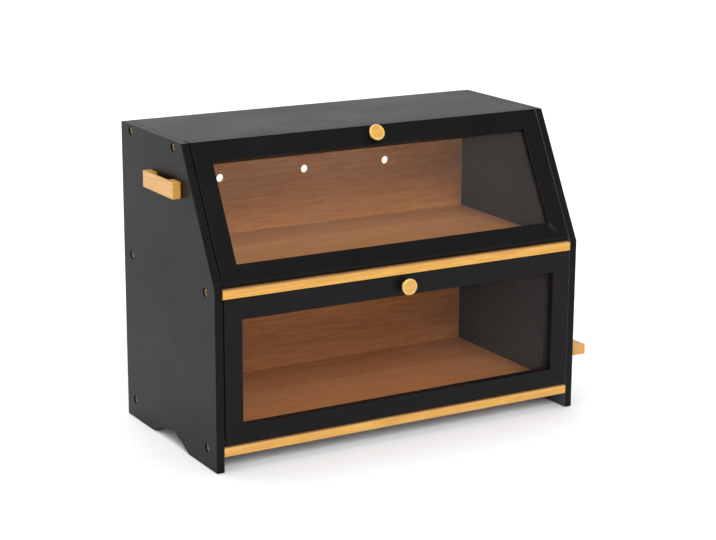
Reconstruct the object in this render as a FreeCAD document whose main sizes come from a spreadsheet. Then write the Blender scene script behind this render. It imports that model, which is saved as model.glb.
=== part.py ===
import FreeCAD, Part
import math
import os
import Sketcher

# Two-tier bread box, millimetres, +Z up, front towards -Y.
# Carcass of five boards and a thin back, two drop-down doors hinged on pins
# along their bottom edges, bamboo knobs and grips, magnetic catches.
# Sketch numbers are first written in the carcass frame (X = 0 half way between
# the side panels, Y = 0 at half depth, Z = 0 under the feet); every placement
# then moves them by (-centre_x, -centre_y) so that the part's origin lies at
# the bottom centre of its whole box.

V = FreeCAD.Vector
doc = FreeCAD.newDocument("BreadBox")
sheet = doc.addObject("Spreadsheet::Sheet", "Dims")


class Q:
    """A length that carries its value and the sheet expression it comes from."""

    def __init__(self, value, text):
        self.v, self.e = float(value), text

    @staticmethod
    def of(other):
        return other if isinstance(other, Q) else Q(other, repr(float(other)))

    def __add__(self, o):
        o = Q.of(o)
        return Q(self.v + o.v, "(%s + %s)" % (self.e, o.e))

    __radd__ = __add__

    def __sub__(self, o):
        o = Q.of(o)
        return Q(self.v - o.v, "(%s - %s)" % (self.e, o.e))

    def __rsub__(self, o):
        return Q.of(o) - self

    def __mul__(self, o):
        o = Q.of(o)
        return Q(self.v * o.v, "(%s * %s)" % (self.e, o.e))

    __rmul__ = __mul__

    def __truediv__(self, o):
        o = Q.of(o)
        return Q(self.v / o.v, "(%s / %s)" % (self.e, o.e))

    def __neg__(self):
        return Q(-self.v, "(0 - %s)" % self.e)


CELLS = {}


def cell(alias, value, note=""):
    row = len(CELLS) + 1
    sheet.set("A%d" % row, alias)
    sheet.set("B%d" % row, repr(float(value)))
    sheet.setAlias("B%d" % row, alias)
    if note:
        sheet.set("C%d" % row, note)
    CELLS[alias] = Q(value, "Dims." + alias)
    return CELLS[alias]


# ---------------------------------------------------------------- dimensions
width = cell("width", 500, "over the side panels")
depth = cell("depth", 250, "side panels, front to back")
height = cell("height", 370)
bend_height = cell("bend_height", 216, "where the slanted front begins")
setback = cell("setback", 82.5, "how far the top edge stands behind the front")
side_thick = cell("side_thick", 10)
board_thick = cell("board_thick", 10, "shelf and bottom board")
top_thick = cell("top_thick", 15)
back_thick = cell("back_thick", 3)
back_lap = cell("back_lap", 5, "rabbet width for the back panel")
back_top = cell("back_top", 362, "top of the back panel's rabbet")
floor_z = cell("floor_z", 19, "underside of the bottom board")
shelf_z = cell("shelf_z", 205, "underside of the shelf")

arch_half = cell("arch_half", 50, "foot cut-out, half its width")
arch_knee_y = cell("arch_knee_y", 10)
arch_knee_z = cell("arch_knee_z", 16)
arch_flank_radius = cell("arch_flank_radius", 232.5)
arch_crown_radius = cell("arch_crown_radius", 35.2)

door_thick = cell("door_thick", 11)
door_side_gap = cell("door_side_gap", 1.5)
door_foot_gap = cell("door_foot_gap", 0.8)
door_back_gap = cell("door_back_gap", 0.5)
window_half = cell("window_half", 215.5)
lower_top = cell("lower_top", 168.7, "top of the lower door above its hinge axis")
lower_win_lo = cell("lower_win_lo", 18.1)
lower_win_hi = cell("lower_win_hi", 143.9)
upper_win_lo = cell("upper_win_lo", 18.8)
upper_win_hi = cell("upper_win_hi", 140.9)
lower_knob_z = cell("lower_knob_z", 156.2)
upper_knob_z = cell("upper_knob_z", 153.3)
lower_strike_z = cell("lower_strike_z", 160.7)
upper_strike_z = cell("upper_strike_z", 149)
strike_x = cell("strike_x", -11)
groove_deep = cell("groove_deep", 5)
groove_half = cell("groove_half", 1.1)
groove_back = cell("groove_back", 2.2, "from the middle of the door's thickness to the groove's middle")
pane_thick = cell("pane_thick", 2)
pane_edge = cell("pane_edge", 4.5, "how far the pane reaches into the groove")

pin_radius = cell("pin_radius", 2)
pin_fit = cell("pin_fit", 0.05, "running clearance of the pin in the panel")
snug = cell("snug", 0.02, "clearance of pieces that sit tight")
pin_in_door = cell("pin_in_door", 10)
pin_in_panel = cell("pin_in_panel", 7)

screw_head_radius = cell("screw_head_radius", 4.7)
screw_head_high = cell("screw_head_high", 2)
screw_shank_radius = cell("screw_shank_radius", 2)
screw_long = cell("screw_long", 34)
counterbore_radius = cell("counterbore_radius", 5.1)
counterbore_deep = cell("counterbore_deep", 3.6)
screw_front_y = cell("screw_front_y", -99.5)
screw_rear_y = cell("screw_rear_y", 102)
screw_top_front_y = cell("screw_top_front_y", -20.5)
screw_top_rear_y = cell("screw_top_rear_y", 98)
screw_low_z = cell("screw_low_z", 24)
screw_mid_z = cell("screw_mid_z", 209.5)
screw_top_z = cell("screw_top_z", 362.5)

small_head_radius = cell("small_head_radius", 2.8)
small_shank_radius = cell("small_shank_radius", 1.3)
back_screw_x = cell("back_screw_x", 200)
back_screw_top_z = cell("back_screw_top_z", 358.5)
vent_radius = cell("vent_radius", 5)
vent_pitch = cell("vent_pitch", 120)
vent_upper_z = cell("vent_upper_z", 287.5)
vent_lower_z = cell("vent_lower_z", 120)

handle_out = cell("handle_out", 10.5)
handle_half = cell("handle_half", 41)
handle_low = cell("handle_low", 306)
handle_high = cell("handle_high", 20)
handle_gap_half = cell("handle_gap_half", 22.7)
handle_gap_deep = cell("handle_gap_deep", 7)
dowel_radius = cell("dowel_radius", 3)
dowel_deep = cell("dowel_deep", 7)
handle_dowel_y = cell("handle_dowel_y", 32)
handle_dowel_z = cell("handle_dowel_z", 316)
grip_out = cell("grip_out", 20)
grip_front_y = cell("grip_front_y", -124)
grip_long = cell("grip_long", 82)
grip_low = cell("grip_low", 66)
grip_high = cell("grip_high", 13)
grip_dowel_a = cell("grip_dowel_a", -108)
grip_dowel_b = cell("grip_dowel_b", -58)
grip_dowel_z = cell("grip_dowel_z", 72.5)

knob_out = cell("knob_out", 11.6)
knob_radius = cell("knob_radius", 9.8)
knob_neck = cell("knob_neck", 3.6)
knob_screw_radius = cell("knob_screw_radius", 1.95)

magnet_radius = cell("magnet_radius", 4)
magnet_thick = cell("magnet_thick", 3)
catch_half = cell("catch_half", 6, "half the width of a catch block")
catch_gap = cell("catch_gap", 0.6, "from a closed door's back to the catch")

# Numbers that follow from the slant. The slanted front plane runs from
# (-depth/2, bend_height) to (-depth/2 + setback, height).
rise = height.v - bend_height.v
length = math.hypot(setback.v, rise)
cosine, sine = rise / length, setback.v / length
slant_cos = cell("slant_cos", cosine)
slant_sin = cell("slant_sin", sine)
slant_deg = cell("slant_deg", math.degrees(math.atan2(setback.v, rise)))

half_door = door_thick / 2
lower_axis_y = -depth / 2 + half_door
lower_axis_z = floor_z + board_thick + door_foot_gap + half_door
upper_axis_z = shelf_z + board_thick + door_foot_gap + half_door
# the upper hinge axis lies half a door behind the slanted plane
up_s = (upper_axis_z.v - bend_height.v + sine * half_door.v) / cosine
upper_axis_y = cell("upper_axis_y", -depth.v / 2 + sine * up_s + cosine * half_door.v)

# The whole box: the left handle and the right grip set its ends in X, the
# lower knob and the back set them in Y.
centre_x = (grip_out - handle_out) / 2
centre_y = -knob_out / 2
doc.recompute()


def plane_point(along, out):
    """(Y, Z) of a point at a distance along the slant, and out from its plane."""
    y = -depth.v / 2 + sine * along - cosine * out
    z = bend_height.v + cosine * along + sine * out
    return y, z


def slant_y(z, out):
    """Y where the plane parallel to the slant, out from it, is at height z."""
    along = (z - bend_height.v - sine * out) / cosine
    return plane_point(along, out)[0]


# ------------------------------------------------------------------- helpers
def bind(obj, prop, q):
    obj.setExpression(prop, Q.of(q).e)


def place(obj, x=0, y=0, z=0, turn=None):
    """Placement in the part's frame; turn is an angle about X in degrees."""
    x, y, z = Q.of(x) - centre_x, Q.of(y) - centre_y, Q.of(z)
    rot = FreeCAD.Rotation(V(1, 0, 0), turn.v) if turn is not None else FreeCAD.Rotation()
    obj.Placement = FreeCAD.Placement(V(x.v, y.v, z.v), rot)
    bind(obj, "Placement.Base.x", x)
    bind(obj, "Placement.Base.y", y)
    bind(obj, "Placement.Base.z", z)


def body(name):
    made = doc.addObject("PartDesign::Body", name)
    made.Label = name
    return made


def plane_of(owner, role):
    return [f for f in owner.Origin.OriginFeatures if f.Role == role][0]


class Drawing:
    """A sketch on one of its body's origin planes, moved along the normal."""

    def __init__(self, owner, name, role, offset=0):
        self.s = owner.newObject("Sketcher::SketchObject", name)
        self.s.AttachmentSupport = [(plane_of(owner, role), "")]
        self.s.MapMode = "FlatFace"
        offset = Q.of(offset)
        self.s.AttachmentOffset = FreeCAD.Placement(V(0, 0, offset.v), FreeCAD.Rotation())
        bind(self.s, "AttachmentOffset.Base.z", offset)

    def fix(self, geo, pos, x, y):
        for kind, q in (("DistanceX", Q.of(x)), ("DistanceY", Q.of(y))):
            if abs(q.v) < 1e-9:
                axis = -2 if kind == "DistanceX" else -1
                self.s.addConstraint(Sketcher.Constraint("PointOnObject", geo, pos, axis))
                continue
            i = self.s.addConstraint(Sketcher.Constraint(kind, -1, 1, geo, pos, q.v))
            self.s.setExpression("Constraints[%d]" % i, q.e)

    def polygon(self, points, arcs=None):
        """Closed outline. arcs[i] = (radius, bulge side point) between points i and i+1."""
        arcs = arcs or {}
        ends, n = [], len(points)
        at = [V(Q.of(x).v, Q.of(y).v, 0) for x, y in points]
        for i in range(n):
            a, b = at[i], at[(i + 1) % n]
            if i in arcs:
                radius, side = arcs[i]
                mid, chord = (a + b) / 2, b - a
                half = chord.Length / 2
                radius = Q.of(radius)
                sag = radius.v - math.sqrt(max(radius.v ** 2 - half ** 2, 0.0))
                normal = V(-chord.y, chord.x, 0).normalize()
                through = mid + normal * (sag * side)
                g = self.s.addGeometry(Part.Arc(a, through, b), False)
                start = self.s.getPoint(g, 1)
                first = 1 if start.distanceToPoint(a) < 1e-4 else 2
                ends.append((g, first, 3 - first))
            else:
                g = self.s.addGeometry(Part.LineSegment(a, b), False)
                ends.append((g, 1, 2))
        for i in range(n):
            g, _, last = ends[i]
            h, first, _ = ends[(i + 1) % n]
            self.s.addConstraint(Sketcher.Constraint("Coincident", g, last, h, first))
        for i in range(n):
            self.fix(ends[i][0], ends[i][1], *points[i])
        for i, (radius, side) in arcs.items():
            radius = Q.of(radius)
            c = self.s.addConstraint(Sketcher.Constraint("Radius", ends[i][0], radius.v))
            self.s.setExpression("Constraints[%d]" % c, radius.e)
        return self.s

    def round_foot(self, half, top_back, top_front):
        """Side view of a door board: half-round foot about the sketch origin."""
        half, top_back, top_front = Q.of(half), Q.of(top_back), Q.of(top_front)
        r = half.v
        arc = self.s.addGeometry(
            Part.ArcOfCircle(Part.Circle(V(0, 0, 0), V(0, 0, 1), r), math.pi, 2 * math.pi), False
        )
        back = self.s.addGeometry(Part.LineSegment(V(r, 0, 0), V(r, top_back.v, 0)), False)
        top = self.s.addGeometry(Part.LineSegment(V(r, top_back.v, 0), V(-r, top_front.v, 0)), False)
        front = self.s.addGeometry(Part.LineSegment(V(-r, top_front.v, 0), V(-r, 0, 0)), False)
        add = self.s.addConstraint
        add(Sketcher.Constraint("Coincident", arc, 3, -1, 1))
        i = add(Sketcher.Constraint("Radius", arc, r))
        self.s.setExpression("Constraints[%d]" % i, half.e)
        add(Sketcher.Constraint("PointOnObject", arc, 1, -1))
        add(Sketcher.Constraint("PointOnObject", arc, 2, -1))
        add(Sketcher.Constraint("Coincident", arc, 2, back, 1))
        add(Sketcher.Constraint("Coincident", back, 2, top, 1))
        add(Sketcher.Constraint("Coincident", top, 2, front, 1))
        add(Sketcher.Constraint("Coincident", front, 2, arc, 1))
        add(Sketcher.Constraint("Vertical", back))
        add(Sketcher.Constraint("Vertical", front))
        for g, q in ((back, top_back), (top, top_front)):
            i = add(Sketcher.Constraint("DistanceY", -1, 1, g, 2, q.v))
            self.s.setExpression("Constraints[%d]" % i, q.e)
        return self.s

    def rectangle(self, x0, y0, x1, y1):
        return self.polygon([(x0, y0), (x1, y0), (x1, y1), (x0, y1)])

    def circles(self, centres, radius):
        radius = Q.of(radius)
        for x, y in centres:
            x, y = Q.of(x), Q.of(y)
            g = self.s.addGeometry(Part.Circle(V(x.v, y.v, 0), V(0, 0, 1), radius.v), False)
            self.fix(g, 3, x, y)
            i = self.s.addConstraint(Sketcher.Constraint("Radius", g, radius.v))
            self.s.setExpression("Constraints[%d]" % i, radius.e)
        return self.s


def pad(owner, name, sketch, size):
    size = Q.of(size)
    f = owner.newObject("PartDesign::Pad", name)
    f.Profile = sketch
    f.Length = size.v
    bind(f, "Length", size)
    doc.recompute()
    return f


def cut(owner, feature):
    """A pocket, groove or hole must take material away: turn it round if it doesn't."""
    before = feature.BaseFeature.Shape.Volume
    doc.recompute()
    if feature.Shape.isNull() or feature.Shape.Volume > before - 1e-3:
        feature.Reversed = not feature.Reversed
        doc.recompute()
    if feature.Shape.isNull() or feature.Shape.Volume > before - 1e-3:
        raise RuntimeError("%s cuts nothing from %s" % (feature.Name, owner.Name))
    return feature


def pocket(owner, name, sketch, size):
    size = Q.of(size)
    f = owner.newObject("PartDesign::Pocket", name)
    f.Profile = sketch
    f.Length = size.v
    bind(f, "Length", size)
    return cut(owner, f)


def drilled(owner, name, sketch, diameter, kind, head, value):
    """A through hole with a counterbore (value = depth) or a countersink (value = angle)."""
    doc.recompute()
    diameter, head = Q.of(diameter), Q.of(head)
    f = owner.newObject("PartDesign::Hole", name)
    f.Profile = sketch
    f.Threaded = False
    f.DepthType = "ThroughAll"
    f.Diameter = diameter.v
    bind(f, "Diameter", diameter)
    f.HoleCutType = kind
    f.HoleCutCustomValues = True
    f.HoleCutDiameter = head.v
    bind(f, "HoleCutDiameter", head)
    if kind == "Counterbore":
        value = Q.of(value)
        f.HoleCutDepth = value.v
        bind(f, "HoleCutDepth", value)
    else:
        f.HoleCutCountersinkAngle = value
    return cut(owner, f)


def lathe(name, outline):
    """A turned piece: outline in (radius, height), turned about its own Z axis."""
    owner = body(name)
    sketch = Drawing(owner, name + "_outline", "XZ_Plane").polygon(outline)
    f = owner.newObject("PartDesign::Revolution", name + "_turning")
    f.Profile = sketch
    f.ReferenceAxis = (sketch, ["V_Axis"])
    f.Angle = 360
    doc.recompute()
    return owner


def cross_recess(owner, arm, slot, deep):
    """The cross slot in a screw head whose top is at z = 0."""
    a, s = arm, slot
    d = Drawing(owner, owner.Name + "_cross", "XY_Plane")
    d.polygon([(a, -s), (a, s), (s, s), (s, a), (-s, a), (-s, s),
               (-a, s), (-a, -s), (-s, -s), (-s, -a), (s, -a), (s, -s)])
    return pocket(owner, owner.Name + "_recess", d.s, deep)


def cylinder(name, radius, size):
    radius, size = Q.of(radius), Q.of(size)
    c = doc.addObject("Part::Cylinder", name)
    c.Radius, c.Height = radius.v, size.v
    bind(c, "Radius", radius)
    bind(c, "Height", size)
    return c


def aim(obj, x, y, z, rotation):
    x, y, z = Q.of(x) - centre_x, Q.of(y) - centre_y, Q.of(z)
    obj.Placement = FreeCAD.Placement(V(x.v, y.v, z.v), rotation)
    bind(obj, "Placement.Base.x", x)
    bind(obj, "Placement.Base.y", y)
    bind(obj, "Placement.Base.z", z)


PIECES = []


def keep(obj):
    PIECES.append(obj)
    return obj


def group(name, members):
    g = doc.addObject("Part::Compound", name)
    g.Label = name
    g.Links = members
    return keep(g)


def copies(name, master, spots):
    """Identical fasteners: one link to the master per spot (x, y, z, rotation)."""
    links = []
    for n, (x, y, z, rotation) in enumerate(spots):
        link = doc.addObject("App::Link", "%s_%d" % (name, n + 1))
        link.LinkedObject = master
        aim(link, x, y, z, rotation)
        links.append(link)
    return group(name, links)


TO_LEFT = FreeCAD.Rotation(V(0, 1, 0), -90)   # local +Z points to -X
TO_RIGHT = FreeCAD.Rotation(V(0, 1, 0), 90)   # local +Z points to +X
TO_BACK = FreeCAD.Rotation(V(1, 0, 0), -90)   # local +Z points to +Y
TO_FRONT = FreeCAD.Rotation(V(1, 0, 0), 90)   # local +Z points to -Y
DOWN = FreeCAD.Rotation(V(1, 0, 0), 180)      # local +Z points to -Z

half_w, half_d = width / 2, depth / 2
inner_x = half_w - side_thick
board_half_z = board_thick / 2
door_half = inner_x - door_side_gap

SIDE_SCREWS = [
    (screw_top_front_y, screw_top_z), (screw_top_rear_y, screw_top_z),
    (screw_front_y, screw_mid_z), (screw_rear_y, screw_mid_z),
    (screw_front_y, screw_low_z), (screw_rear_y, screw_low_z),
]


# ------------------------------------------------------------------- carcass
def side_panel(name, outer, inner, low_x, dowels):
    """A side board: slanted front, arched foot, rabbet, screw and pin holes.
    outer and inner are the X of its faces, low_x the smaller of the two."""
    b = body(name)
    outline = Drawing(b, name + "_outline", "YZ_Plane", low_x)
    outline.polygon(
        [
            (-half_d, 0), (-arch_half, 0), (-arch_knee_y, arch_knee_z), (arch_knee_y, arch_knee_z),
            (arch_half, 0), (half_d, 0), (half_d, height), (-half_d + setback, height), (-half_d, bend_height),
        ],
        {1: (arch_flank_radius, 1), 2: (arch_crown_radius, 1), 3: (arch_flank_radius, 1)},
    )
    pad(b, name + "_board", outline.s, side_thick)
    sign = 1 if outer.v > inner.v else -1
    # the rabbet is cut downwards from its top; the cutter is 1 mm oversize
    # where it runs out of the board
    rabbet = Drawing(b, name + "_rabbet", "XY_Plane", back_top)
    lap = inner + sign * back_lap
    x0, x1 = (lap, inner + 1) if sign < 0 else (inner - 1, lap)
    rabbet.rectangle(x0, half_d - back_thick, x1, half_d + 1)
    pocket(b, name + "_rabbet_cut", rabbet.s, back_top - floor_z)
    spots = Drawing(b, name + "_screw_spots", "YZ_Plane", outer).circles(SIDE_SCREWS, screw_shank_radius)
    drilled(b, name + "_screw_holes", spots, (screw_shank_radius + 0.1) * 2, "Counterbore",
            counterbore_radius * 2, counterbore_deep)
    pins = Drawing(b, name + "_pin_spots", "YZ_Plane", inner).circles(
        [(lower_axis_y, lower_axis_z), (upper_axis_y, upper_axis_z)], pin_radius + pin_fit)
    pocket(b, name + "_pin_bores", pins, pin_in_panel)
    holes = Drawing(b, name + "_dowel_spots", "YZ_Plane", outer).circles(dowels, dowel_radius + snug)
    pocket(b, name + "_dowel_holes", holes, dowel_deep)
    place(b)
    return keep(b)


handle_spots = [(-handle_dowel_y, handle_dowel_z), (handle_dowel_y, handle_dowel_z)]
grip_spots = [(grip_dowel_a, grip_dowel_z), (grip_dowel_b, grip_dowel_z)]
side_panel("side_panel_left", -half_w, -inner_x, -half_w, handle_spots)
side_panel("side_panel_right", half_w, inner_x, inner_x, handle_spots + grip_spots)


def end_holes(b, name, spots):
    """Pilot holes in both ends of a board for the side screws."""
    for tag, x in (("left", -inner_x), ("right", inner_x)):
        s = Drawing(b, "%s_%s_spots" % (name, tag), "YZ_Plane", x).circles(spots, screw_shank_radius + snug)
        pocket(b, "%s_%s_pilots" % (name, tag), s, screw_long - side_thick + counterbore_deep)


def rear_holes(b, name, z):
    s = Drawing(b, name + "_rear_spots", "XZ_Plane", -(half_d - back_thick)).circles(
        [(-back_screw_x, z), (0, z), (back_screw_x, z)], small_shank_radius + snug)
    pocket(b, name + "_rear_pilots", s, 14)


def under_hole(b, name, x, y, z, size):
    s = Drawing(b, name + "_catch_spot", "XY_Plane", z).circles([(x, y)], small_shank_radius + snug)
    pocket(b, name + "_catch_pilot", s, size)


# Top board: its front edge is cut parallel to the slant, just behind the door.
top_low = height - top_thick
edge_out = -(door_thick.v + door_back_gap.v)
top_front_y = cell("top_front_y", slant_y(height.v, edge_out))
top_front_low_y = cell("top_front_low_y", slant_y(top_low.v, edge_out))
doc.recompute()
b = body("top_board")
d = Drawing(b, "top_board_outline", "YZ_Plane", -inner_x)
d.polygon([(top_front_low_y, top_low), (half_d - back_thick, top_low), (half_d - back_thick, back_top),
           (half_d, back_top), (half_d, height), (top_front_y, height)])
pad(b, "top_board_slab", d.s, inner_x * 2)
end_holes(b, "top_board", [(screw_top_front_y, screw_top_z), (screw_top_rear_y, screw_top_z)])
rear_holes(b, "top_board", back_screw_top_z)
catch_screw_y = cell("catch_screw_y", -30)
doc.recompute()
under_hole(b, "top_board", strike_x, catch_screw_y, top_low, 10)
place(b)
keep(b)


def flat_board(name, low):
    b = body(name)
    d = Drawing(b, name + "_outline", "XY_Plane", low)
    d.rectangle(-inner_x, -half_d, inner_x, half_d - back_thick)
    pad(b, name + "_slab", d.s, board_thick)
    return b


lower_catch_screw_y = cell("lower_catch_screw_y", -104)
doc.recompute()
b = flat_board("middle_shelf", shelf_z)
end_holes(b, "middle_shelf", [(screw_front_y, screw_mid_z), (screw_rear_y, screw_mid_z)])
rear_holes(b, "middle_shelf", shelf_z + board_half_z)
under_hole(b, "middle_shelf", strike_x, lower_catch_screw_y, shelf_z, 8)
place(b)
keep(b)

b = flat_board("bottom_board", floor_z)
end_holes(b, "bottom_board", [(screw_front_y, screw_low_z), (screw_rear_y, screw_low_z)])
rear_holes(b, "bottom_board", floor_z + board_half_z)
place(b)
keep(b)

# Back panel: thin, sits in the rabbets, three vent holes to each tier.
b = body("back_panel")
d = Drawing(b, "back_panel_outline", "XZ_Plane", -half_d)
back_half = inner_x + back_lap - 0.1
d.rectangle(-back_half, floor_z, back_half, back_top - 0.1)
pad(b, "back_panel_slab", d.s, back_thick)
vents = [(n * vent_pitch, z) for z in (vent_upper_z, vent_lower_z) for n in (-1, 0, 1)]
s = Drawing(b, "back_panel_vent_spots", "XZ_Plane", -half_d).circles(vents, vent_radius)
pocket(b, "back_panel_vents", s, back_thick)
back_rows = (back_screw_top_z, shelf_z + board_half_z, floor_z + board_half_z)
back_spots = [(n * back_screw_x, z) for z in back_rows for n in (-1, 0, 1)]
s = Drawing(b, "back_panel_screw_spots", "XZ_Plane", -half_d).circles(back_spots, small_shank_radius)
drilled(b, "back_panel_screw_holes", s, (small_shank_radius + 0.05) * 2, "Countersink",
        (small_head_radius + 0.1) * 2, 90)
place(b)
keep(b)

# ------------------------------------------------------------------ fasteners
# Each master has the top of its head at z = 0 and its point downwards.
hr, sr = screw_head_radius, screw_shank_radius
screw = lathe("side_screw_master", [
    (0, 0), (hr - 0.6, 0), (hr, -0.6), (hr, -screw_head_high), (sr, -screw_head_high),
    (sr, -(screw_long - 3)), (0.4, -screw_long), (0, -screw_long)])
cross_recess(screw, 2.6, 0.55, 1.5)


def small_screw(name, size):
    r, t = small_head_radius, small_shank_radius
    made = lathe(name, [(0, 0), (r, 0), (t, -(r - t)), (t, -(size - 1.5)), (0.2, -size), (0, -size)])
    cross_recess(made, 1.5, 0.35, 0.9)
    return made


back_screw = small_screw("back_screw_master", Q.of(16))
catch_screw = small_screw("catch_screw_master", Q.of(20))
shelf_catch_screw = small_screw("shelf_catch_screw_master", Q.of(23))

# The head of a side screw stands at the bottom of its counterbore.
seat = counterbore_deep - screw_head_high
copies("side_screws_left", screw, [(-half_w + seat, y, z, TO_LEFT) for y, z in SIDE_SCREWS])
copies("side_screws_right", screw, [(half_w - seat, y, z, TO_RIGHT) for y, z in SIDE_SCREWS])
copies("back_panel_screws", back_screw, [(x, half_d, z, TO_BACK) for x, z in back_spots])


# ----------------------------------------------------------- handles and grip
def handle(name, sign):
    """Bar glued to the side; its middle stands clear of the panel for fingers."""
    b = body(name)
    d = Drawing(b, name + "_plan", "XY_Plane", handle_low)
    wall, face, gap = sign * half_w, sign * (half_w + handle_out), sign * (half_w + handle_gap_deep)
    g, e = handle_gap_half, handle_half
    d.polygon([(wall, -e), (face, -e), (face, e), (wall, e), (wall, g), (gap, g), (gap, -g), (wall, -g)])
    pad(b, name + "_bar", d.s, handle_high)
    s = Drawing(b, name + "_dowel_spots", "YZ_Plane", wall).circles(handle_spots, dowel_radius + snug)
    pocket(b, name + "_dowel_holes", s, dowel_deep)
    place(b)
    return keep(b)


handle("handle_left", -1)
handle("handle_right", 1)

dowel_long = dowel_deep * 2 - 0.4
dowels = []
for sign, tag in ((-1, "left"), (1, "right")):
    for y, z in handle_spots:
        c = cylinder("handle_dowel_%s_%d" % (tag, len(dowels)), dowel_radius, dowel_long)
        aim(c, sign * half_w - dowel_long / 2, y, z, TO_RIGHT)
        dowels.append(c)
group("handle_dowels", dowels)

b = body("side_grip_right")
d = Drawing(b, "side_grip_plan", "XY_Plane", grip_low)
d.rectangle(half_w, grip_front_y, half_w + grip_out, grip_front_y + grip_long)
pad(b, "side_grip_bar", d.s, grip_high)
s = Drawing(b, "side_grip_dowel_spots", "YZ_Plane", half_w).circles(grip_spots, dowel_radius + snug)
pocket(b, "side_grip_dowel_holes", s, dowel_deep)
place(b)
keep(b)
dowels = []
for y, z in grip_spots:
    c = cylinder("grip_dowel_%d" % len(dowels), dowel_radius, dowel_long)
    aim(c, half_w - dowel_long / 2, y, z, TO_RIGHT)
    dowels.append(c)
group("side_grip_dowels", dowels)

# -------------------------------------------------------------------- catches
# Upper catch: a block under the top board whose front face lies parallel to
# the slanted door, with a round magnet let into that face.
face_out = -(door_thick.v + catch_gap.v)
low_a = plane_point(152, face_out)
low_b = plane_point(152, face_out - 5)
catch_a_y, catch_a_z = cell("catch_a_y", low_a[0]), cell("catch_a_z", low_a[1])
catch_b_y, catch_b_z = cell("catch_b_y", low_b[0]), cell("catch_b_z", low_b[1])
catch_c_y = cell("catch_c_y", -24)
catch_d_y = cell("catch_d_y", slant_y(top_low.v, face_out))
magnet_along = upper_strike_z.v + up_s
magnet_at = plane_point(magnet_along, face_out)
upper_magnet_y = cell("upper_magnet_y", magnet_at[0])
upper_magnet_z = cell("upper_magnet_z", magnet_at[1])
doc.recompute()
b = body("catch_block_upper")
d = Drawing(b, "catch_block_upper_outline", "YZ_Plane", strike_x - catch_half)
d.polygon([(catch_a_y, catch_a_z), (catch_b_y, catch_b_z), (catch_c_y, catch_b_z),
           (catch_c_y, top_low), (catch_d_y, top_low)])
pad(b, "catch_block_upper_block", d.s, catch_half * 2)
s = Drawing(b, "catch_block_upper_spot", "XY_Plane", catch_b_z).circles(
    [(strike_x, catch_screw_y)], small_shank_radius)
drilled(b, "catch_block_upper_hole", s, (small_shank_radius + 0.05) * 2, "Countersink",
        (small_head_radius + 0.1) * 2, 90)
place(b)
doc.recompute()
# the magnet's bore stands square to the slanted face, so it is cut as a cylinder
INTO = FreeCAD.Rotation(V(1, 0, 0), -90 - slant_deg.v)   # into the box, square to the slant
bore = cylinder("catch_bore_upper", magnet_radius + snug, magnet_thick)
aim(bore, strike_x, upper_magnet_y, upper_magnet_z, INTO)
blank = b
blank.Label = "catch_blank_upper"
c = doc.addObject("Part::Cut", "catch_block_upper_cut")
c.Base, c.Tool = blank, bore
c.Label = "catch_block_upper"
keep(c)
m = cylinder("catch_magnet_upper", magnet_radius, magnet_thick)
m.Label = "catch_magnet_upper"
aim(m, strike_x, upper_magnet_y, upper_magnet_z, INTO)
keep(m)

# Lower catch: the same under the shelf, with an upright front face.
lower_face_y = -half_d + door_thick + catch_gap
lower_magnet_z = lower_axis_z + lower_strike_z
b = body("catch_block_lower")
d = Drawing(b, "catch_block_lower_outline", "YZ_Plane", strike_x - catch_half)
lower_catch_z = shelf_z - 17
d.rectangle(lower_face_y, lower_catch_z, lower_face_y + 16, shelf_z)
pad(b, "catch_block_lower_block", d.s, catch_half * 2)
s = Drawing(b, "catch_block_lower_spot", "XY_Plane", lower_catch_z).circles(
    [(strike_x, lower_catch_screw_y)], small_shank_radius)
drilled(b, "catch_block_lower_hole", s, (small_shank_radius + 0.05) * 2, "Countersink",
        (small_head_radius + 0.1) * 2, 90)
s = Drawing(b, "catch_block_lower_magnet_spot", "XZ_Plane", -lower_face_y).circles(
    [(strike_x, lower_magnet_z)], magnet_radius + snug)
pocket(b, "catch_block_lower_bore", s, magnet_thick)
place(b)
keep(b)
m = cylinder("catch_magnet_lower", magnet_radius, magnet_thick)
m.Label = "catch_magnet_lower"
aim(m, strike_x, lower_face_y, lower_magnet_z, TO_BACK)
keep(m)

links = []
for n, (master, y, z) in enumerate(((catch_screw, catch_screw_y, catch_b_z),
                                    (shelf_catch_screw, lower_catch_screw_y, lower_catch_z))):
    link = doc.addObject("App::Link", "catch_screw_%d" % (n + 1))
    link.LinkedObject = master
    aim(link, strike_x, y, z, DOWN)
    links.append(link)
group("catch_screws", links)


# ---------------------------------------------------------------------- doors
# Door pieces are drawn with the hinge axis as their origin: x along the axis,
# y from the front face (-half_door) to the back face (+half_door), z up the door.
knob_screw = lathe("knob_screw_master", [
    (0, 0), (3.0, 0), (3.5, -0.5), (3.5, -2.2), (knob_screw_radius, -2.2),
    (knob_screw_radius, -16.4), (1.5, -17.0), (0, -17.0)])
cross_recess(knob_screw, 2.0, 0.45, 1.3)
strike_screw = small_screw("strike_screw_master", Q.of(8))
sr = small_head_radius
strike_master = lathe("strike_master", [
    (small_shank_radius + 0.1, -1.6), (5.5, -1.6), (5.5, -0.2), (5.3, 0), (sr + 0.1, 0),
    (small_shank_radius + 0.1, -(sr - small_shank_radius))])


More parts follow.
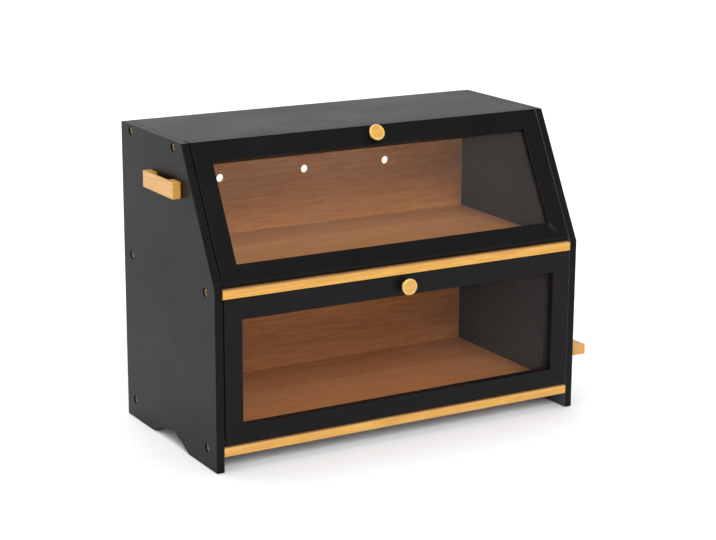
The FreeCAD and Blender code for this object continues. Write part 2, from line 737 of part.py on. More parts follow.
def door(tag, axis_y, axis_z, turn, win_lo, win_hi, top_front, top_back, knob_z, strike_z):
    base = dict(y=axis_y, z=axis_z, turn=turn)
    rot = FreeCAD.Rotation(V(1, 0, 0), turn.v) if turn is not None else FreeCAD.Rotation()

    def spot(obj, x, y, z, own):
        """Place a piece at a point given in the door's own axes."""
        x, y, z = Q.of(x), Q.of(y), Q.of(z)
        if turn is None:
            gy, gz = axis_y + y, axis_z + z
        else:
            gy = axis_y + y * slant_cos + z * slant_sin
            gz = axis_z - y * slant_sin + z * slant_cos
        aim(obj, x, gy, gz, rot * own)

    tongue_top = Q.of(min(top_front.v, top_back.v)) - 4
    # grooves and tongues lie behind the middle of the thickness
    slot_front, slot_back = groove_back - groove_half, groove_back + groove_half

    for side, sign in (("left", -1), ("right", 1)):
        name = "%s_stile_%s" % (tag, side)
        b = body(name)
        low_x = -door_half if sign < 0 else window_half
        d = Drawing(b, name + "_outline", "YZ_Plane", low_x)
        d.round_foot(half_door, top_back, top_front)
        pad(b, name + "_bar", d.s, door_half - window_half)
        g = Drawing(b, name + "_groove", "YZ_Plane", sign * window_half)
        g.rectangle(slot_front, 0, slot_back, tongue_top)
        pocket(b, name + "_groove_cut", g.s, groove_deep)
        s = Drawing(b, name + "_pin_spot", "YZ_Plane", sign * door_half).circles([(0, 0)], pin_radius + snug)
        pocket(b, name + "_pin_bore", s, pin_in_door)
        place(b, **base)
        keep(b)

    name = tag + "_rail_bottom"
    b = body(name)
    d = Drawing(b, name + "_outline", "YZ_Plane", -window_half)
    d.round_foot(half_door, win_lo, win_lo)
    pad(b, name + "_bar", d.s, window_half * 2)
    d = Drawing(b, name + "_tongue", "YZ_Plane", -window_half - groove_deep)
    d.rectangle(slot_front, 0, slot_back, win_lo)
    pad(b, name + "_tongues", d.s, (window_half + groove_deep) * 2)
    d = Drawing(b, name + "_groove", "YZ_Plane", -window_half - groove_deep)
    d.rectangle(slot_front, win_lo - groove_deep, slot_back, win_lo + 1)
    pocket(b, name + "_groove_cut", d.s, (window_half + groove_deep) * 2)
    place(b, **base)
    keep(b)

    name = tag + "_rail_top"
    b = body(name)
    d = Drawing(b, name + "_outline", "YZ_Plane", -window_half)
    d.polygon([(-half_door, win_hi), (half_door, win_hi), (half_door, top_back), (-half_door, top_front)])
    pad(b, name + "_bar", d.s, window_half * 2)
    d = Drawing(b, name + "_tongue", "YZ_Plane", -window_half - groove_deep)
    d.rectangle(slot_front, win_hi, slot_back, tongue_top)
    pad(b, name + "_tongues", d.s, (window_half + groove_deep) * 2)
    d = Drawing(b, name + "_groove", "YZ_Plane", -window_half - groove_deep)
    d.rectangle(slot_front, win_hi - 1, slot_back, win_hi + groove_deep)
    pocket(b, name + "_groove_cut", d.s, (window_half + groove_deep) * 2)
    s = Drawing(b, name + "_knob_spot", "XZ_Plane", -half_door).circles([(0, knob_z)], knob_screw_radius)
    drilled(b, name + "_knob_hole", s, (knob_screw_radius + 0.05) * 2, "Counterbore", 7.6, 3.0)
    s = Drawing(b, name + "_strike_spot", "XZ_Plane", -half_door).circles([(strike_x, strike_z)], 5.55)
    pocket(b, name + "_strike_recess", s, 1.6)
    s = Drawing(b, name + "_strike_pilot_spot", "XZ_Plane", -half_door).circles(
        [(strike_x, strike_z)], small_shank_radius + snug)
    pocket(b, name + "_strike_pilot", s, 8.2)
    place(b, **base)
    keep(b)

    name = tag + "_window"
    b = body(name)
    d = Drawing(b, name + "_outline", "XZ_Plane", -(groove_back + pane_thick / 2))
    reach = window_half + pane_edge
    d.rectangle(-reach, win_lo - pane_edge, reach, win_hi + pane_edge)
    pad(b, name + "_sheet", d.s, pane_thick)
    place(b, **base)
    keep(b)

    # knob: turned, with a narrow neck, screwed on from the back of the rail
    r, n, o = knob_radius, knob_neck, knob_out
    bore_r, bore_d = knob_screw_radius + snug, 8.4
    k = lathe(tag + "_knob", [
        (bore_r, 0), (n + 0.9, 0), (n + 0.3, 0.6), (n, 1.8), (n, o - 6.8), (n + 0.5, o - 5.4), (n + 1.8, o - 4.4), (r - 1.6, o - 3.8),
        (r - 0.5, o - 3.4), (r, o - 2.6), (r, o - 1.0), (r - 0.3, o - 0.35), (r - 0.9, o), (r - 1.7, o), (r - 2.3, o - 0.4),
        (r - 3.0, o - 0.5), (0, o - 0.5), (0, bore_d), (bore_r, bore_d)])
    spot(k, 0, -half_door, knob_z, TO_FRONT)
    keep(k)
    outward = TO_BACK
    link = doc.addObject("App::Link", tag + "_knob_screw_link")
    link.LinkedObject = knob_screw
    spot(link, 0, half_door - 0.8, knob_z, outward)
    group(tag + "_knob_screw", [link])
    link = doc.addObject("App::Link", tag + "_strike_link")
    link.LinkedObject = strike_master
    spot(link, strike_x, half_door, strike_z, outward)
    group(tag + "_strike_plate", [link])
    link = doc.addObject("App::Link", tag + "_strike_screw_link")
    link.LinkedObject = strike_screw
    spot(link, strike_x, half_door, strike_z, outward)
    group(tag + "_strike_screw", [link])

    pins = []
    pin_long = pin_in_door + door_side_gap + pin_in_panel - 0.7
    for n, sign in enumerate((-1, 1)):
        c = cylinder("%s_hinge_pin_%d" % (tag, n + 1), pin_radius, pin_long)
        start = door_half - pin_in_door + 0.2
        aim(c, sign * start, axis_y, axis_z, TO_LEFT if sign < 0 else TO_RIGHT)
        pins.append(c)
    group(tag + "_hinge_pins", pins)


door("lower", lower_axis_y, lower_axis_z, None, lower_win_lo, lower_win_hi,
     lower_top, lower_top, lower_knob_z, lower_strike_z)

# The upper door leans back with the slant and its top edge is cut level with
# the top board.
up = height - upper_axis_z
upper_top_front = (up - half_door * slant_sin) / slant_cos
upper_top_back = (up + half_door * slant_sin) / slant_cos
door("upper", upper_axis_y, upper_axis_z, -slant_deg, upper_win_lo, upper_win_hi,
     upper_top_front, upper_top_back, upper_knob_z, upper_strike_z)

# --------------------------------------------------------------- check, write
doc.recompute()
for obj in doc.Objects:
    bad = [s for s in obj.State if s in ("Invalid", "Error")]
    if bad:
        raise RuntimeError("%s is %s" % (obj.Name, bad))
    if obj.TypeId == "Sketcher::SketchObject" and obj.solve() != 0:
        raise RuntimeError("sketch %s does not solve" % obj.Name)
os.makedirs("parts", exist_ok=True)
whole = FreeCAD.BoundBox()
for obj in PIECES:
    shape = obj.Shape
    if shape.isNull() or not shape.isValid():
        raise RuntimeError("%s has no valid shape" % obj.Label)
    if not shape.Solids:
        raise RuntimeError("%s holds no solid" % obj.Label)
for obj in PIECES:
    obj.Shape.exportStep("parts/%s.step" % obj.Label)
    whole.add(obj.Shape.BoundBox)
    print("%-22s solids %d  volume %9.1f  %s" % (obj.Label, len(obj.Shape.Solids), obj.Shape.Volume,
          " ".join("%.2f" % c for c in (obj.Shape.BoundBox.XMin, obj.Shape.BoundBox.XMax, obj.Shape.BoundBox.YMin,
                                        obj.Shape.BoundBox.YMax, obj.Shape.BoundBox.ZMin, obj.Shape.BoundBox.ZMax))))
print("pieces %d  whole box %s" % (len(PIECES), whole))
print("upper axis Y %.4f Z %.4f (carcass frame), slant %.4f deg" % (upper_axis_y.v, upper_axis_z.v, slant_deg.v))
print("centre %.3f %.3f" % (centre_x.v, centre_y.v))
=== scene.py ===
import bpy
import bmesh
import math
from mathutils import Matrix, Vector


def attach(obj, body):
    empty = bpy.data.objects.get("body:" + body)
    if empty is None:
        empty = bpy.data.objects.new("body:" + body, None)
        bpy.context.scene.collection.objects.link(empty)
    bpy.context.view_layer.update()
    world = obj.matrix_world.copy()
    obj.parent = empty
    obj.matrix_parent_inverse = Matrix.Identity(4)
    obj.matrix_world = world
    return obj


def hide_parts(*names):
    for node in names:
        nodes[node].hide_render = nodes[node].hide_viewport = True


# Two-tier bread box: satin black boards and doors, bamboo shelves, knobs and
# grips, clear panes. Metres, in the part's own frame: front towards -Y.

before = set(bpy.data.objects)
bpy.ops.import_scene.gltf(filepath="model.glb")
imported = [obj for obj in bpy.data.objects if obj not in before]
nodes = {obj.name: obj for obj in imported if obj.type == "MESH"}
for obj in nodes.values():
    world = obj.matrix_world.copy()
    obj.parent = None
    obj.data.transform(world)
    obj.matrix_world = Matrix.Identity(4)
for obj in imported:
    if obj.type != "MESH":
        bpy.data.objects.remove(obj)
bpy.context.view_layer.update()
scene = bpy.context.scene
scene.view_settings.view_transform = "Standard"
scene.view_settings.look = "None"

CX, CY = 0.00475, -0.0058          # the carcass's own middle, in the part's frame: x = X - CX, y = Y - CY
SLANT = math.atan2(82.5, 154.0)    # lean of the upper front

# ------------------------------------------------------------------ materials


class Shade:
    """A small helper to write node materials."""

    def __init__(self, name):
        self.mat = bpy.data.materials.new(name)
        self.mat.use_nodes = True
        self.tree = self.mat.node_tree
        self.tree.nodes.clear()
        self.out = self.tree.nodes.new("ShaderNodeOutputMaterial")

    def node(self, kind, **settings):
        n = self.tree.nodes.new(kind)
        for key, value in settings.items():
            setattr(n, key, value)
        return n

    def link(self, a, b):
        self.tree.links.new(a, b)

    def put(self, socket, value):
        """A number, a colour or another node's output goes into a socket."""
        if isinstance(value, bpy.types.NodeSocket):
            self.link(value, socket)
        else:
            socket.default_value = value

    def math(self, op, a, b=None, c=None, clamp=False):
        n = self.node("ShaderNodeMath", operation=op, use_clamp=clamp)
        for i, v in enumerate((a, b, c)):
            if v is not None:
                self.put(n.inputs[i], v)
        return n.outputs[0]

    def vec(self, x, y, z):
        n = self.node("ShaderNodeCombineXYZ")
        for i, v in enumerate((x, y, z)):
            self.put(n.inputs[i], v)
        return n.outputs[0]

    def xyz(self):
        t = self.node("ShaderNodeTexCoord")
        s = self.node("ShaderNodeSeparateXYZ")
        self.link(t.outputs["Object"], s.inputs[0])
        return t.outputs["Object"], s.outputs

    def noise(self, vector, scale=1.0, detail=3.0, rough=0.55, distortion=0.0):
        n = self.node("ShaderNodeTexNoise")
        self.link(vector, n.inputs["Vector"])
        n.inputs["Scale"].default_value = scale
        n.inputs["Detail"].default_value = detail
        n.inputs["Roughness"].default_value = rough
        n.inputs["Distortion"].default_value = distortion
        return n.outputs["Fac"]

    def white(self, value):
        n = self.node("ShaderNodeTexWhiteNoise", noise_dimensions="1D")
        self.link(value, n.inputs["W"])
        return n.outputs["Value"]

    def band(self, value, lo, hi, to_lo=0.0, to_hi=1.0, smooth=True):
        n = self.node("ShaderNodeMapRange", interpolation_type="SMOOTHSTEP" if smooth else "LINEAR", clamp=True)
        for i, v in enumerate((value, lo, hi, to_lo, to_hi)):
            self.put(n.inputs[i], v)
        return n.outputs[0]

    def mix(self, fac, a, b, blend="MIX"):
        n = self.node("ShaderNodeMix", data_type="RGBA", blend_type=blend)
        n.clamp_result = False
        self.put(n.inputs[0], fac)
        for socket, v in ((n.inputs[6], a), (n.inputs[7], b)):
            self.put(socket, tuple(v) + (1.0,) if isinstance(v, tuple) and len(v) == 3 else v)
        return n.outputs[2]

    def bump(self, height, strength, distance):
        n = self.node("ShaderNodeBump")
        n.inputs["Strength"].default_value = strength
        n.inputs["Distance"].default_value = distance
        self.link(height, n.inputs["Height"])
        return n.outputs[0]

    def principled(self, color, rough, normal=None, **fixed):
        p = self.node("ShaderNodeBsdfPrincipled")
        self.put(p.inputs["Base Color"], tuple(color) + (1.0,) if isinstance(color, tuple) and len(color) == 3 else color)
        self.put(p.inputs["Roughness"], rough)
        if normal is not None:
            self.link(normal, p.inputs["Normal"])
        for key, value in fixed.items():
            p.inputs[key.replace("_", " ")].default_value = value
        self.link(p.outputs[0], self.out.inputs[0])
        return p


def black_paint(name, grain, inner=None, shine=0.13):
    """Satin black lacquer over board: faint brush-out along the board, fine spray texture,
    a dusty trace and handling in the gloss. Given inner, the faces nearer the middle
    than inner, inside the box, are painted a lighter grey with no gloss: painted light,
    standing in for the glow seen on them through the panes."""
    s = Shade(name)
    co, (x, y, z) = s.xyz()
    axes = {"X": (x, y, z), "Y": (y, x, z), "Z": (z, x, y)}[grain]
    along = s.vec(s.math("MULTIPLY", axes[0], 9.0), s.math("MULTIPLY", axes[1], 260.0), s.math("MULTIPLY", axes[2], 260.0))
    fibre = s.noise(along, 1.0, 4.0, 0.6)
    spray = s.noise(co, 2600.0, 2.0, 0.5)
    cloud = s.noise(co, 14.0, 4.0, 0.55)
    wear = s.noise(co, 55.0, 5.0, 0.65, 0.4)
    color = s.mix(cloud, (0.0036, 0.0036, 0.0037), (0.0052, 0.0052, 0.0053))
    color = s.mix(s.band(wear, 0.62, 0.80, 0.0, 0.30), color, (0.0095, 0.0095, 0.0097))
    color = s.mix(s.band(fibre, 0.30, 0.70, 0.0, 0.25), color, (0.0026, 0.0026, 0.0027))
    # painted light: the faces inside the box get a lighter grey than the outside, for the glow seen on them through the
    # panes
    if inner is not None:
        inside = s.band(s.math("ABSOLUTE", s.math("ADD", x, CX)), inner, inner + 0.0004, 1.0, 0.0)
        color = s.mix(inside, color, s.mix(cloud, (0.053, 0.0585, 0.067), (0.059, 0.0645, 0.073)))
    rough = s.math("ADD", s.band(cloud, 0.25, 0.75, 0.37, 0.43), s.band(wear, 0.55, 0.85, 0.0, 0.06))
    rough = s.math("ADD", rough, s.band(spray, 0.2, 0.8, -0.02, 0.02))
    peel = s.noise(co, 420.0, 2.0, 0.45)
    height = s.math("ADD", s.math("MULTIPLY", fibre, 0.35), s.math("MULTIPLY", peel, 0.65))
    coat = s.principled(color, rough, s.bump(height, 0.08, 0.00005), Specular_IOR_Level=shine)
    if inner is not None:
        s.link(s.band(inside, 0.0, 1.0, 0.112, 0.0), coat.inputs["Specular IOR Level"])
    return s.mat


def bamboo(name, grain, stack, strip, light=(0.68, 0.378, 0.092), dark=(0.52, 0.250, 0.044), face=None,
           gloss=0.38, knots=1.0, phase=0.0, vary=1.0, streak=15.0, mark=0.60):
    """Laminated bamboo. grain: axis the fibres run along; stack: axis the glued
    strips lie side by side on; strip: width of one strip in metres."""
    s = Shade(name)
    co, (x, y, z) = s.xyz()
    by = {"X": x, "Y": y, "Z": z}
    rest = [a for a in "XYZ" if a not in (grain, stack)][0]
    along, across, other = by[grain], by[stack], by[rest]
    bend = s.math("MULTIPLY", s.math("SUBTRACT", s.noise(s.vec(s.math("MULTIPLY", along, 5.0), 3.1 + phase, 0.4), 1.0, 2.0), 0.5), strip * 0.12)
    place = s.math("DIVIDE", s.math("ADD", s.math("ADD", across, bend), 3.0 + phase * 0.013), strip)
    number = s.math("FLOOR", place)
    inside = s.math("FRACT", place)
    tone = s.white(number)
    shift = s.white(s.math("ADD", number, 37.7))
    # fibres: long thin streaks, different in every strip
    away = s.math("MULTIPLY", number, 7.31)
    fine = s.noise(s.vec(s.math("ADD", s.math("MULTIPLY", along, 16.0), away), s.math("MULTIPLY", across, 1500.0),
                         s.math("MULTIPLY", other, 1500.0)), 1.0, 4.0, 0.62)
    broad = s.noise(s.vec(s.math("ADD", s.math("MULTIPLY", along, streak), away), s.math("MULTIPLY", across, 330.0),
                          s.math("MULTIPLY", other, 330.0)), 1.0, 5.0, 0.68, 0.9)
    fleck = s.noise(s.vec(s.math("ADD", s.math("MULTIPLY", along, 42.0), away), s.math("MULTIPLY", across, 620.0),
                          s.math("MULTIPLY", other, 620.0)), 1.0, 2.0, 0.5, 0.4)
    pore = s.noise(s.vec(s.math("ADD", s.math("MULTIPLY", along, 75.0), away), s.math("MULTIPLY", across, 3600.0),
                         s.math("MULTIPLY", other, 3600.0)), 1.0, 2.0, 0.5)
    cloud = s.noise(co, 9.0, 3.0, 0.5)
    color = s.mix(s.band(fine, 0.32, 0.70), light, dark)
    color = s.mix(s.band(broad, 0.40, 0.64, 0.0, mark), color, tuple(b * k for b, k in zip(dark, (0.93, 0.82, 0.78))))
    color = s.mix(s.band(fleck, 0.62, 0.76, 0.0, 0.62), color, tuple(c * k for c, k in zip(dark, (0.80, 0.56, 0.52))))
    color = s.mix(s.band(pore, 0.60, 0.74, 0.0, 0.42), color, tuple(c * k for c, k in zip(dark, (0.66, 0.56, 0.45))))
    # each strip has its own tone
    color = s.mix(s.band(tone, 0.0, 1.0, 0.0, 0.55 * vary, False), color, s.mix(0.42, color, (0.76, 0.48, 0.19)))
    color = s.mix(s.band(shift, 0.55, 1.0, 0.0, 0.5 * vary, False), color, s.mix(0.35, color, tuple(c * 0.8 for c in dark)))
    color = s.mix(s.band(cloud, 0.3, 0.7, 0.0, 0.16), color, tuple(c * 0.86 for c in dark))
    # culm knuckles: a short darker band across a strip, one in about 270 mm
    step = s.math("FRACT", s.math("ADD", s.math("ADD", s.math("DIVIDE", along, 0.27), 5.0 + phase), s.math("MULTIPLY", shift, 0.97)))
    ragged = s.math("ADD", step, s.math("MULTIPLY", s.math("SUBTRACT", fine, 0.5), 0.010))
    off = s.math("ABSOLUTE", s.math("SUBTRACT", ragged, 0.5))
    ring = s.math("MULTIPLY", s.band(off, 0.0015, 0.009, 1.0, 0.0), 0.34 * knots)
    halo = s.math("MULTIPLY", s.band(off, 0.008, 0.040, 1.0, 0.0), 0.14 * knots)
    color = s.mix(halo, color, tuple(c * 0.80 for c in dark))
    color = s.mix(ring, color, tuple(c * k for c, k in zip(dark, (0.55, 0.45, 0.38))))
    # glue lines between strips
    side = s.math("MINIMUM", inside, s.math("SUBTRACT", 1.0, inside))
    seam = s.band(s.math("MULTIPLY", side, strip), 0.00004, 0.00022, 1.0, 0.0)
    color = s.mix(s.math("MULTIPLY", seam, 0.38), color, tuple(c * k for c, k in zip(dark, (0.52, 0.42, 0.34))))
    if face is not None:
        # faces pointing along one axis get their colour multiplied, mostly lighter and paler: painted light, standing
        # in for how those faces are lit and for the haze of the panes in front of the ones inside the box
        t = s.node("ShaderNodeTexCoord")
        n = s.node("ShaderNodeSeparateXYZ")
        s.link(t.outputs["Normal"], n.inputs[0])
        way, painted_light_tint = face
        painted_light_faces = s.band(n.outputs["Y"], -0.9, -0.6, 1.0, 0.0) if way == "Y" else s.band(s.math("ABSOLUTE", n.outputs[way]), 0.6, 0.9)
        color = s.mix(painted_light_faces, color, s.mix(1.0, color, painted_light_tint, "MULTIPLY"))
        if way == "Z":
            # the hidden underside is coloured pale grey instead of wood, so the light it bounces leaves the floor
            # shadow under the box grey rather than warm
            underside_bounce_grey = s.mix(s.band(fine, 0.3, 0.7), (0.56, 0.55, 0.525), (0.47, 0.46, 0.435))
            color = s.mix(s.band(n.outputs["Z"], -0.9, -0.6, 1.0, 0.0), color, underside_bounce_grey)
    rough = s.math("ADD", s.band(fine, 0.2, 0.8, gloss - 0.05, gloss + 0.07), s.math("MULTIPLY", ring, 0.2))
    height = s.math("SUBTRACT", s.math("MULTIPLY", fine, 0.6), s.math("ADD", s.math("MULTIPLY", seam, 0.5), s.math("MULTIPLY", s.band(pore, 0.6, 0.74), 0.4)))
    s.principled(color, rough, s.bump(height, 0.25, 0.00010), Specular_IOR_Level=0.36, Coat_Weight=0.10, Coat_Roughness=0.22)
    return s.mat


def turned_bamboo(name, axis_at, lean):
    """Knob wood: fibres across the face, rings left by the turning tool, and a
    paler ring at the rim. axis_at: a point on the knob's axis."""
    s = Shade(name)
    co, (x, y, z) = s.xyz()
    shift = s.node("ShaderNodeVectorRotate", rotation_type="X_AXIS")
    s.link(co, shift.inputs["Vector"])
    shift.inputs["Center"].default_value = axis_at
    shift.inputs["Angle"].default_value = lean
    q = s.node("ShaderNodeSeparateXYZ")
    s.link(shift.outputs[0], q.inputs[0])
    dx = s.math("SUBTRACT", q.outputs["X"], axis_at[0])
    dz = s.math("SUBTRACT", q.outputs["Z"], axis_at[2])
    far = s.math("SQRT", s.math("ADD", s.math("MULTIPLY", dx, dx), s.math("MULTIPLY", dz, dz)))
    number = s.math("FLOOR", s.math("DIVIDE", s.math("ADD", q.outputs["Z"], 2.0013), 0.0047))
    tone = s.white(number)
    fine = s.noise(s.vec(s.math("MULTIPLY", dx, 70.0), s.math("MULTIPLY", q.outputs["Y"], 1000.0), s.math("MULTIPLY", dz, 1300.0)), 1.0, 4.0, 0.6)
    broad = s.noise(s.vec(s.math("MULTIPLY", dx, 30.0), s.math("MULTIPLY", q.outputs["Y"], 300.0), s.math("MULTIPLY", dz, 420.0)), 1.0, 3.0, 0.5)
    rings = s.math("SINE", s.math("ADD", s.math("MULTIPLY", far, 5200.0), s.math("MULTIPLY", broad, 4.0)))
    color = s.mix(s.band(fine, 0.30, 0.72), (0.62, 0.352, 0.062), (0.48, 0.242, 0.030))
    color = s.mix(s.band(broad, 0.4, 0.7, 0.0, 0.45), color, (0.49, 0.225, 0.026))
    color = s.mix(s.math("MULTIPLY", tone, 0.25), color, (0.70, 0.42, 0.10))
    color = s.mix(s.band(rings, -1.0, 1.0, 0.0, 0.16), color, (0.44, 0.20, 0.024))
    speck = s.noise(s.vec(s.math("MULTIPLY", dx, 900.0), s.math("MULTIPLY", q.outputs["Y"], 900.0), s.math("MULTIPLY", dz, 1300.0)), 1.0, 3.0, 0.6)
    color = s.mix(s.band(speck, 0.50, 0.68, 0.0, 0.55), color, (0.44, 0.205, 0.024))
    color = s.mix(s.band(speck, 0.46, 0.30, 0.0, 0.45), color, (0.74, 0.49, 0.15))
    color = s.mix(s.band(far, 0.0074, 0.0088, 0.0, 0.6), color, (0.76, 0.50, 0.19))
    height = s.math("ADD", fine, s.math("MULTIPLY", rings, 0.35))
    s.principled(color, s.band(fine, 0.2, 0.8, 0.28, 0.38), s.bump(height, 0.2, 0.00008), Specular_IOR_Level=0.45,
                 Coat_Weight=0.2, Coat_Roughness=0.18)
    return s.mat


def dowel_wood(name):
    s = Shade(name)
    co, (x, y, z) = s.xyz()
    fine = s.noise(s.vec(s.math("MULTIPLY", x, 40.0), s.math("MULTIPLY", y, 1400.0), s.math("MULTIPLY", z, 1400.0)), 1.0, 4.0, 0.6)
    color = s.mix(s.band(fine, 0.3, 0.7), (0.66, 0.48, 0.29), (0.48, 0.31, 0.16))
    s.principled(color, s.band(fine, 0.2, 0.8, 0.55, 0.68), s.bump(fine, 0.3, 0.00012), Specular_IOR_Level=0.35)
    return s.mat


def acrylic(name, dust_and_glare, tint_a, tint_b):
    """Clear sheet: almost all light passes; a faint white haze and hairline scuffs in the gloss. The haze is partly a
    dusty film and partly painted reflection, a stand-in for the glare on the sheet.
    """
    s = Shade(name)
    co, (x, y, z) = s.xyz()
    cloud = s.noise(co, 7.0, 3.0, 0.5)
    scuff = s.noise(s.vec(s.math("MULTIPLY", x, 30.0), s.math("MULTIPLY", y, 700.0), s.math("MULTIPLY", z, 900.0)), 1.0, 5.0, 0.7, 0.6)
    clear = s.node("ShaderNodeBsdfTransparent")
    s.put(clear.inputs[0], s.mix(cloud, tint_a, tint_b))
    haze = s.node("ShaderNodeBsdfDiffuse")
    haze.inputs["Color"].default_value = (0.93, 0.94, 0.95, 1.0)
    hazed = s.node("ShaderNodeMixShader")
    # haze amount: part dusty film, part painted reflection for the sheet's glare
    s.put(hazed.inputs[0], s.math("ADD", s.band(cloud, 0.3, 0.7, dust_and_glare * 0.85, dust_and_glare * 1.15), s.band(scuff, 0.62, 0.85, 0.0, dust_and_glare * 0.4)))
    s.link(clear.outputs[0], hazed.inputs[1])
    s.link(haze.outputs[0], hazed.inputs[2])
    gloss = s.node("ShaderNodeBsdfGlossy")
    gloss.inputs["Color"].default_value = (1.0, 1.0, 1.0, 1.0)
    s.put(gloss.inputs["Roughness"], s.band(cloud, 0.3, 0.7, 0.06, 0.11))
    fresnel = s.node("ShaderNodeFresnel")
    fresnel.inputs["IOR"].default_value = 1.42
    mixed = s.node("ShaderNodeMixShader")
    s.link(s.band(fresnel.outputs[0], 0.042, 0.60, 0.0, 0.42), mixed.inputs[0])
    s.link(hazed.outputs[0], mixed.inputs[1])
    s.link(gloss.outputs[0], mixed.inputs[2])
    s.link(mixed.outputs[0], s.out.inputs[0])
    return s.mat


def metal(name, light, dark, rough, scale=900.0):
    s = Shade(name)
    co, (x, y, z) = s.xyz()
    fine = s.noise(co, scale, 3.0, 0.6)
    cloud = s.noise(co, 160.0, 3.0, 0.5)
    color = s.mix(s.band(cloud, 0.3, 0.7), light, dark)
    color = s.mix(s.band(fine, 0.55, 0.8, 0.0, 0.35), color, tuple(c * 0.6 for c in dark))
    s.principled(color, s.math("ADD", s.band(cloud, 0.3, 0.7, rough - 0.05, rough + 0.05), s.band(fine, 0.4, 0.8, 0.0, 0.06)),
                 s.bump(fine, 0.15, 0.00004), Metallic=1.0)
    return s.mat


def catch_plastic(name):
    s = Shade(name)
    co, (x, y, z) = s.xyz()
    grain = s.noise(co, 2600.0, 2.0, 0.5)
    cloud = s.noise(co, 90.0, 3.0, 0.5)
    color = s.mix(cloud, (0.012, 0.011, 0.011), (0.020, 0.018, 0.018))
    s.principled(color, s.band(grain, 0.2, 0.8, 0.48, 0.60), s.bump(grain, 0.35, 0.00006), Specular_IOR_Level=0.45)
    return s.mat


paint_x, paint_y, paint_z = black_paint("black_paint_x", "X"), black_paint("black_paint_y", "Y"), black_paint("black_paint_z", "Z")
strip_light, strip_dark = (0.72, 0.42, 0.086), (0.55, 0.275, 0.042)
# The face= colours are painted light: the shelf and floor boards' top and bottom faces and the back panel's inner face
# are made paler, for the light and pane haze on them inside the box; the handles' broad sides are made lighter and
# paler than their ends.
shelf_wood = bamboo("bamboo_shelf", "X", "Y", 0.0185, light=strip_light, dark=strip_dark, phase=0.31, knots=0.3, mark=0.8,
                    face=("Z", (1.00, 0.99, 1.86)))
floor_wood = bamboo("bamboo_floor", "X", "Y", 0.0185, light=strip_light, dark=strip_dark, phase=1.77, knots=0.3, mark=0.8,
                    face=("Z", (1.00, 0.99, 1.86)))
back_wood = bamboo("bamboo_back", "X", "Z", 0.0125, phase=0.9, knots=0.3, light=(0.68, 0.40, 0.120), dark=(0.53, 0.275, 0.060),
                   vary=0.45, streak=22.0, mark=0.9, face=("Y", (1.20, 1.18, 1.60)))
handle_wood = bamboo("bamboo_handle", "Y", "X", 0.0036, light=(0.60, 0.335, 0.068), dark=(0.45, 0.215, 0.031), phase=2.4, knots=0.35,
                     face=("X", (1.10, 1.10, 1.42)))
grip_wood = bamboo("bamboo_grip", "Y", "X", 0.0051, light=(0.59, 0.315, 0.062), dark=(0.44, 0.205, 0.029), phase=3.3, knots=0.35)
dowel = dowel_wood("dowel_wood")
slant_x, slant_z = black_paint("black_paint_slant_x", "X", shine=0.105), black_paint("black_paint_slant_z", "Z", shine=0.105)
# the side boards' inner faces are painted a lighter grey: painted light
paint_side = black_paint("black_paint_side_painted_light_inside", "Z", inner=0.2401)
# One acrylic for both sheets, but the upper gets more haze (painted glare) and the lower a darker colour: painted shade
# on the lower compartment seen through it.
pane = {"upper": acrylic("clear_acrylic_upper", 0.013, (0.992, 0.941, 0.908), (0.996, 0.947, 0.915)),
        "lower": acrylic("clear_acrylic_lower", 0.0045, (0.968, 0.906, 0.887), (0.974, 0.913, 0.894))}
brass = metal("brass", (0.50, 0.37, 0.155), (0.34, 0.245, 0.10), 0.34)
steel = metal("steel", (0.66, 0.66, 0.67), (0.46, 0.46, 0.47), 0.30)
plastic = catch_plastic("catch_plastic")

# ------------------------------------------------------- boards with eased edges


def groups(edges):
    """Edges that touch end to end, as separate chains."""
    left, chains = set(edges), []
    while left:
        first = left.pop()
        chain, front = [first], [first]
        while front:
            e = front.pop()
            for v in e.verts:
                for o in v.link_edges:
                    if o in left:
                        left.remove(o)
                        chain.append(o)
                        front.append(o)
        chains.append(chain)
    return chains


def span(chain):
    pts = [v.co for e in chain for v in e.verts]
    return max(max(p[i] for p in pts) - min(p[i] for p in pts) for i in range(3))


